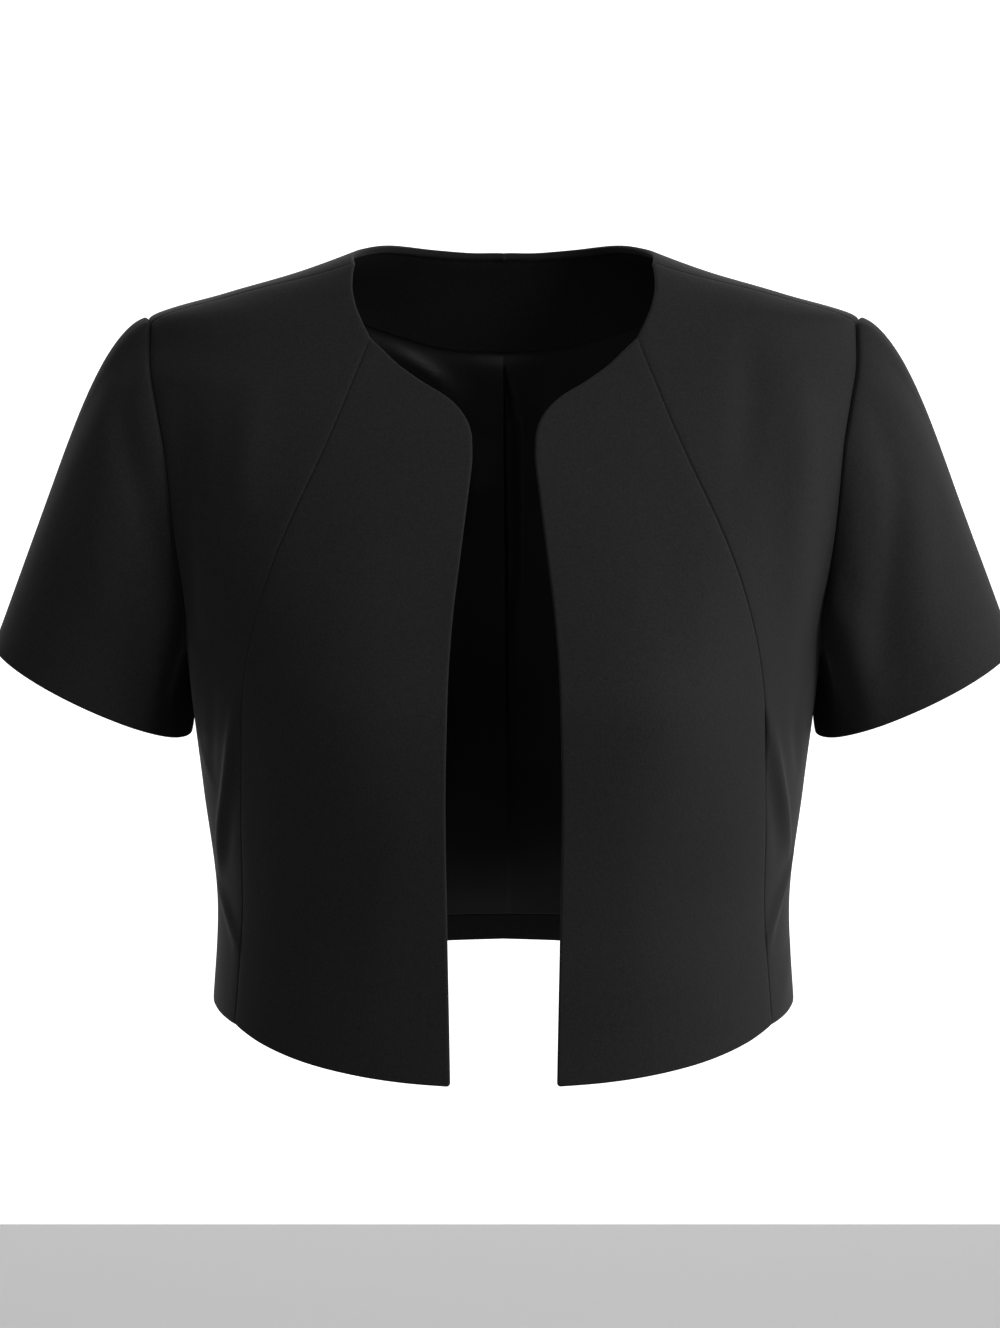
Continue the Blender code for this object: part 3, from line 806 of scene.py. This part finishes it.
back = backGrids()


def backHalf(word, side):
    grids = [grid for layer in back.values() for grid in layer]
    piece = clothPanel(
        "clothBack_" + word, grids, word, side, backPanel,
        ["centreBack", "side", "bandSide", "underarmBack", "armholeBack", "shoulderInner", "shoulderOuter"],
        ["backNeck", "backHem"],
    )
    declare(piece, "back_" + word)


for word, side in sides:
    frontCentre(word, side)
    frontSide(word, side)
    backHalf(word, side)
print("panels: fronts, side fronts and backs")

# Sleeves
sleeve = {
    "flat": (0.400, 0.190),
    "area": 0.0419,
    "cuffAcross": 224, "cuffHeight": -239, "cuffHalfWidth": 58.3, "cuffHalfDepth": 48,
    "cuffFrontDip": 3.8, "cuffTilt": 24.8,
    "leaveTop": (1.0, 0.0, -0.26), "leaveUnder": (0.02, 0.0, -1.0),
    "arriveTop": (0.36, 0.0, -0.93), "arriveUnder": (0.0, 0.0, -1.0),
    "fullness": 0.25, "head": 29, "reachUnder": 0.33, "reachTop": 0.64,
    "rollHeight": 1.5, "rollStep": 0.9, "rollFall": 15,   # the sleeve head stands up at its seam
    "lean": 0.3,               # how far the sleeve presses on the side of the body
    "wave": 0.5, "waveSize": 70, "waveFade": 20, "waveSeed": 9,
    "foldFade": 6,             # folds fade out this close to the armhole
    "threadRound": 0.36,       # cloth once round, in metres
    "columns": 6, "rows": 58,  # columns for each step of the armhole
    "length": 150,             # seam to cuff, for the finer rows beside them
    # folds: points (share of the way round from the underarm, and of the way down), half width, height
    "leftFolds": (
        (((0.40, 0.06), (0.35, 0.22), (0.27, 0.37), (0.20, 0.62)), 8, -1.8),
        (((0.30, 0.05), (0.235, 0.17), (0.19, 0.36), (0.17, 0.5)), 8, 1.2),
        (((0.40, 0.30), (0.33, 0.50), (0.27, 0.75)), 9, 1.0),
        (((0.16, 0.05), (0.165, 0.40), (0.16, 0.70), (0.16, 1.0)), 12, 5.2),
        (((0.07, 0.15), (0.07, 0.50), (0.065, 0.80), (0.06, 1.0)), 12, -4.0),
        (((0.0, 0.35), (0.0, 0.70), (0.0, 1.0)), 13, 2.8),
        (((0.62, 0.10), (0.68, 0.30), (0.76, 0.60)), 9, -1.7),
        (((0.70, 0.08), (0.78, 0.30), (0.84, 0.55)), 8, 1.4),
        (((0.88, 0.20), (0.87, 0.60), (0.86, 1.05)), 9, 1.8),
    ),
    "rightFolds": (
        (((0.50, 0.05), (0.40, 0.12), (0.30, 0.13), (0.22, 0.16), (0.18, 0.30)), 9, -2.2),
        (((0.38, 0.24), (0.30, 0.42), (0.24, 0.66)), 12, 1.0),
        (((0.18, 0.10), (0.16, 0.45), (0.145, 0.75), (0.14, 1.0)), 12, 4.8),
        (((0.07, 0.15), (0.07, 0.50), (0.06, 0.80), (0.055, 1.0)), 13, -4.0),
        (((0.0, 0.30), (0.0, 0.62), (0.0, 1.0)), 14, 3.6),
        (((0.60, 0.08), (0.67, 0.26), (0.74, 0.55)), 10, -1.8),
        (((0.72, 0.10), (0.80, 0.34), (0.85, 0.58)), 8, 1.3),
        (((0.90, 0.18), (0.88, 0.55), (0.88, 1.05)), 9, 1.7),
    ),
}


def sleeveGrid():
    s = sleeve
    upFront = joined(seams["underarmFront"], seams["armholeFront"])
    downBack = joined(seams["underarmBack"], seams["armholeBack"])[::-1]
    whole = joined(upFront, downBack)
    steps = (len(whole) - 1) // lineSamples
    columns = np.linspace(0, steps, steps * s["columns"] + 1)[:-1]
    start = pointsAt(whole, columns)
    turns = columns / steps
    angle = 2 * np.pi * turns
    tilt = math.radians(s["cuffTilt"])
    wide = -s["cuffHalfWidth"] * np.cos(angle)
    end = np.stack([
        s["cuffAcross"] + wide * math.cos(tilt),
        -s["cuffHalfDepth"] * np.sin(angle),
        s["cuffHeight"] + wide * math.sin(tilt) - s["cuffFrontDip"] * np.sin(angle),
    ], axis=1) * mm
    top = ((1 - np.cos(angle)) / 2)[:, None]
    bulge = np.zeros((len(start), 3))
    bulge[:, 1] = -s["fullness"] * np.sin(angle)
    leave = unit((1 - top) * np.array(s["leaveUnder"]) + top * np.array(s["leaveTop"]) + bulge)
    arrive = unit((1 - top) * np.array(s["arriveUnder"]) + top * np.array(s["arriveTop"]))
    chord = np.linalg.norm(end - start, axis=1, keepdims=True)
    reach = chord * (s["reachUnder"] + (s["reachTop"] - s["reachUnder"]) * top)
    b, c = start + s["head"] * mm * leave, end - reach * arrive
    ts = np.array([x / s["length"] for x in (0, *edgeCuts)])
    te = 1 - ts[::-1]
    ts = np.concatenate([ts, np.linspace(ts[-1], te[0], s["rows"])[1:-1], te])
    rows = [
        (1 - t) ** 3 * start + 3 * (1 - t) ** 2 * t * b + 3 * (1 - t) * t**2 * c + t**3 * end for t in ts
    ]
    return np.stack(rows, axis=1), start, top[:, 0], turns


def sleevePiece(word, side):
    grid, start, top, turns = sleeveGrid()
    wall, s = clothWall, sleeve
    columns, rows = grid.shape[:2]
    surface = grid.reshape(-1, 3)
    roundAbout = np.roll(grid, -1, axis=0) - np.roll(grid, 1, axis=0)
    normals = unit(np.cross(np.gradient(grid, axis=1), roundAbout))
    bodyOut = outward(start)
    steps = np.linalg.norm(np.diff(grid, axis=1), axis=2)
    fromSeam = np.concatenate([np.zeros((columns, 1)), np.cumsum(steps, axis=1)], axis=1)
    toCuff = fromSeam[:, -1:] - fromSeam
    way = fromSeam / fromSeam[:, -1:]
    dip = wall["seamDepth"]["armholeFront"] * mm * fading(fromSeam, wall["seamWidth"])
    step = 1 - fading(fromSeam, s["rollStep"])
    roll = s["rollHeight"] * mm * step * fading(fromSeam, s["rollFall"]) * top[:, None] ** 0.7
    thick = thicknessAt(toCuff)
    turnIn = edgeRound(toCuff, thick * mm / 2)
    wave = slowWave(surface, s["waveSize"] * mm, s["waveSeed"] + side).reshape(columns, rows)
    slow = wave * s["wave"] * mm * (1 - fading(fromSeam, s["waveFade"]))
    clear = 1 - fading(fromSeam, s["foldFade"])
    for line, width, height in s[word + "Folds"]:
        marks = []
        for turn, down in line:
            column = round(turn * columns) % columns
            marks.append(grid[column, np.argmin(np.abs(way[column] - down))])
        away, place = distanceTo(surface, curveThrough(np.array(marks)))
        bump = height * mm * fading(away, width) * np.sin(np.pi * (0.1 + 0.8 * place))
        slow += bump.reshape(columns, rows) * clear
    # where the sleeve leans on the side of the body it is pressed flat against it
    leaning = grid + slow[..., None] * normals
    across, depth, height = np.abs(leaning[..., 0]), leaning[..., 1], leaning[..., 2]
    slow -= np.maximum(sideReach(depth, height) - s["lean"] * mm - across, 0) * clear
    outer = grid + (roll + slow - turnIn)[..., None] * normals - dip[..., None] * bodyOut[:, None]
    inner = grid + (slow - thick * mm + turnIn)[..., None] * normals
    inner[:, 0] = outer[:, 0] - wall["thickness"] * mm * bodyOut
    faces = []
    for i in range(columns):
        for j in range(rows - 1):
            a, b = i * rows + j, (i + 1) % columns * rows + j
            faces.append((a, a + 1, b + 1, b))
    grain = np.stack([np.repeat(turns * s["threadRound"], rows), -fromSeam.ravel()], axis=1)
    skins = outer.reshape(-1, 3), inner.reshape(-1, 3)
    piece = makeWall("clothSleeve_" + word, *skins, faces, grain, blackCloth, side)
    declare(piece, "sleeve_" + word)


for word, side in sides:
    sleevePiece(word, side)
print("sleeves: two")

# Layers inside the back: hem band, lining and neck facing
innerLayers = {
    "depth": 2.3, "thickness": 0.9,
    "wave": 0.9, "waveSize": 45, "waveFade": 9, "waveSeed": 21,   # the lining's unevenness
    "tuck": 0.6, "tuckWidth": 4,          # the lining's top goes behind the facing
    "neckTuck": 1.6, "neckTuckWidth": 4,  # and the facing's behind the rolled neck edge
    "facing": {"flat": (0.250, 0.110), "area": 0.0193},
    "lining": {"flat": (0.460, 0.440), "area": 0.150},
    "band": {"flat": (0.450, 0.016), "area": 0.0065},
}
# The lining's centre pleat: height, how far the fold stands in, its edge, and the gap beside it
liningPleat = {
    "rows": (
        (-388, 0.3, 2.6, 0.6),
        (-375, 1.6, 2.6, 1.0),
        (-320, 2.6, 2.4, 1.6),
        (-230, 4.0, 1.6, 3.5),
        (-150, 7.0, 0.6, 9.0),
        (-105, 7.5, 0.2, 8.0),
        (-80, 5.0, 0.1, 3.0),
        (-66, 2.6, 0.0, 0.6),
        (-58, 0.6, 0.0, 0.3),
    ),
    "leftSpread": 34, "rightSpread": 26, "rightShare": 0.62,
    "leftRound": 0.7, "rightRound": 1.6,   # how soft the two sides of the gap are
    # folds hanging from the facing: points (across, height), half width and height in mm
    "folds": (
        (((-90, -44), (-52, -66), (-24, -92), (-14, -140)), 10, 3.6),
        (((-66, -52), (-38, -74), (-20, -104)), 3.5, 1.2),
        (((-76, -64), (-46, -84), (-30, -118), (-26, -170)), 5, -2.2),
        (((-52, -92), (-44, -150), (-46, -240)), 9, 1.2),
        (((30, -66), (38, -110), (34, -190)), 8, 1.3),
        (((58, -60), (70, -120), (62, -220)), 10, -1.2),
        (((-96, -60), (-88, -140), (-92, -250)), 12, 1.2),
        (((96, -62), (92, -150), (98, -260)), 12, 1.1),
        (((-20, -250), (-28, -310), (-24, -372)), 9, 0.9),
        (((40, -230), (30, -300), (34, -374)), 10, 0.9),
    ),
}


def pleatHeight(points):
    s = liningPleat
    table = np.array(s["rows"], float)
    rise, edge, gap = (np.interp(points[:, 2] / mm, table[:, 0], table[:, k]) for k in (1, 2, 3))
    beside = points[:, 0] / mm - edge
    left = rise * np.exp(-np.maximum(-beside, 0) / s["leftSpread"])
    left = left * np.clip(1 - beside / s["leftRound"], 0, 1)
    past = beside - gap
    right = s["rightShare"] * rise * np.exp(-np.maximum(past, 0) / s["rightSpread"])
    right = right * np.clip(1 + past / s["rightRound"], 0, 1) ** 2
    return np.maximum(left, right) * mm


def innerPiece(name, node, grids, material, edges, isLining=False, bulge=()):
    s = innerLayers
    points, faces = weld(list(grids) + [grid[::-1] * np.array([-1, 1, 1]) for grid in grids])
    normals = outward(points)
    depth = np.full(len(points), s["depth"] * mm)
    halfPoints = np.stack([np.abs(points[:, 0]), points[:, 1], points[:, 2]], axis=1)
    toEdge = np.min([distanceTo(halfPoints, seams[e])[0] for e in edges], axis=0)
    for word, side in sides:
        shape = foldHeight(halfPoints, foldLines(backPanel[word + "Folds"]))
        depth += np.where(points[:, 0] * side > 0, np.maximum(-shape, 0), 0)
    if isLining:
        tucked = fading(distanceTo(halfPoints, seams["facingEdge"])[0], s["tuckWidth"])
        depth += pleatHeight(points) * (1 - tucked) - s["tuck"] * mm * tucked
        wave = s["wave"] * mm * slowWave(points, s["waveSize"] * mm, s["waveSeed"]) + s["wave"] * mm
        depth += np.maximum(foldHeight(points, bulge) + wave, 0) * (1 - fading(toEdge, s["waveFade"]))
        toEdge = distanceTo(halfPoints, seams["bandEdge"])[0]
    if "backNeck" in edges:
        toNeck = distanceTo(halfPoints, seams["backNeck"])[0]
        tucked = s["neckTuck"] * mm * fading(toNeck, s["neckTuckWidth"])
        points = points + tucked[:, None] * unit(normals * normals[:, 2:] - np.array([0, 0, 1]))
        depth -= tucked
    thick = s["thickness"] * mm
    turnIn = edgeRound(toEdge, thick / 2)
    outer = points - (depth + turnIn)[:, None] * normals
    inner = points - (depth + thick - turnIn)[:, None] * normals
    piece = makeWall(name, outer, inner, faces, grainOf(points), material, 1)
    declare(piece, node)


liningFolds = [(smoothLine(onBack(line)), width, height) for line, width, height in liningPleat["folds"]]
innerPiece("innerHemBand", "back_hem_band", back["band"], blackCloth,
           ["bandEdge", "backHem", "bandSide"])
innerPiece("innerLining", "back_lining", back["lined"], liningSatin,
           ["bandEdge", "facingEdge"], True, liningFolds)
innerPiece("innerNeckFacing", "back_neck_facing", back["faced"], facingCloth,
           ["facingEdge", "backNeck", "shoulderInner"])
print("inside: band, lining and facing")

# Studio: pale floor and backdrop, soft lights, camera
studio = {
    "floorHeight": -1.43, "floorFront": -4, "halfWidth": 5.8,
    "backdropAt": 3.2, "backdropTop": 4.4,
    "paper": (0.6, 0.6, 0.6, 1),
    "paperRoughness": 0.95,
    "backdropGlow": 1.0,
    "world": 0.12,
    "aim": (0, 0, -0.2),
    # name, turn to the image's right, height angle, distance, width, height, watts
    "lights": (
        ("keyHigh", 56, 35, 2.4, 1.0, 1.0, 45),
        ("keyRight", 62, 5, 2.4, 1.0, 1.8, 25),
        ("sideRight", 90, 0, 2.2, 0.8, 1.8, 22),
        ("sideLeft", -95, 0, 2.2, 0.8, 1.8, 1.5),
        ("topLeft", -30, 45, 2.2, 1.0, 1.0, 15),
    ),
    "cameraAt": (-0.0019, -2.1786, 0.1010),
    "cameraDown": 8,
    "lens": 109.6,
}


def paperSheet(name, corners, glow):
    data = bpy.data.meshes.new(name)
    data.from_pydata(corners, [], [(0, 1, 2, 3)])
    paper = bpy.data.materials.new(name + "Card")
    paper.use_nodes = True
    shader = paper.node_tree.nodes["Principled BSDF"]
    shader.inputs["Base Color"].default_value = studio["paper"]
    shader.inputs["Roughness"].default_value = studio["paperRoughness"]
    shader.inputs["Emission Color"].default_value = (1, 1, 1, 1)
    shader.inputs["Emission Strength"].default_value = glow
    data.materials.append(paper)
    sheet = bpy.data.objects.new(name, data)
    bpy.context.scene.collection.objects.link(sheet)


def softLight(name, turn, rise, distance, width, height, power):
    data = bpy.data.lights.new(name, "AREA")
    data.shape = "RECTANGLE"
    data.size, data.size_y = width, height
    data.energy = power
    light = bpy.data.objects.new(name, data)
    a, e = math.radians(turn), math.radians(rise)
    way = Vector((math.sin(a) * math.cos(e), -math.cos(a) * math.cos(e), math.sin(e)))
    light.location = Vector(studio["aim"]) + distance * way
    light.rotation_euler = (-way).to_track_quat("-Z", "Y").to_euler()
    bpy.context.scene.collection.objects.link(light)


def studioSet():
    s = studio
    half, front, behind = s["halfWidth"], s["floorFront"], s["backdropAt"]
    low, high = s["floorHeight"], s["backdropTop"]
    floor = [(-half, front, low), (half, front, low), (half, behind, low), (-half, behind, low)]
    backdrop = [(-half, behind, low), (half, behind, low), (half, behind, high), (-half, behind, high)]
    paperSheet("paperFloor", floor, 0)
    paperSheet("paperBackdrop", backdrop, s["backdropGlow"])
    for row in s["lights"]:
        softLight(*row)
    world = bpy.data.worlds.new("studioAir")
    world.use_nodes = True
    world.node_tree.nodes["Background"].inputs["Color"].default_value = (1, 1, 1, 1)
    world.node_tree.nodes["Background"].inputs["Strength"].default_value = s["world"]
    bpy.context.scene.world = world
    camera = bpy.data.cameras.new("camera")
    camera.lens = s["lens"]
    camera.sensor_width = 36
    camera.clip_end = 50
    eye = bpy.data.objects.new("camera", camera)
    eye.location = s["cameraAt"]
    eye.rotation_euler = (math.radians(90 - s["cameraDown"]), 0, 0)
    bpy.context.scene.collection.objects.link(eye)
    bpy.context.scene.camera = eye
    bpy.context.scene.view_settings.view_transform = "Standard"


studioSet()
print("studio: floor, lights and camera")
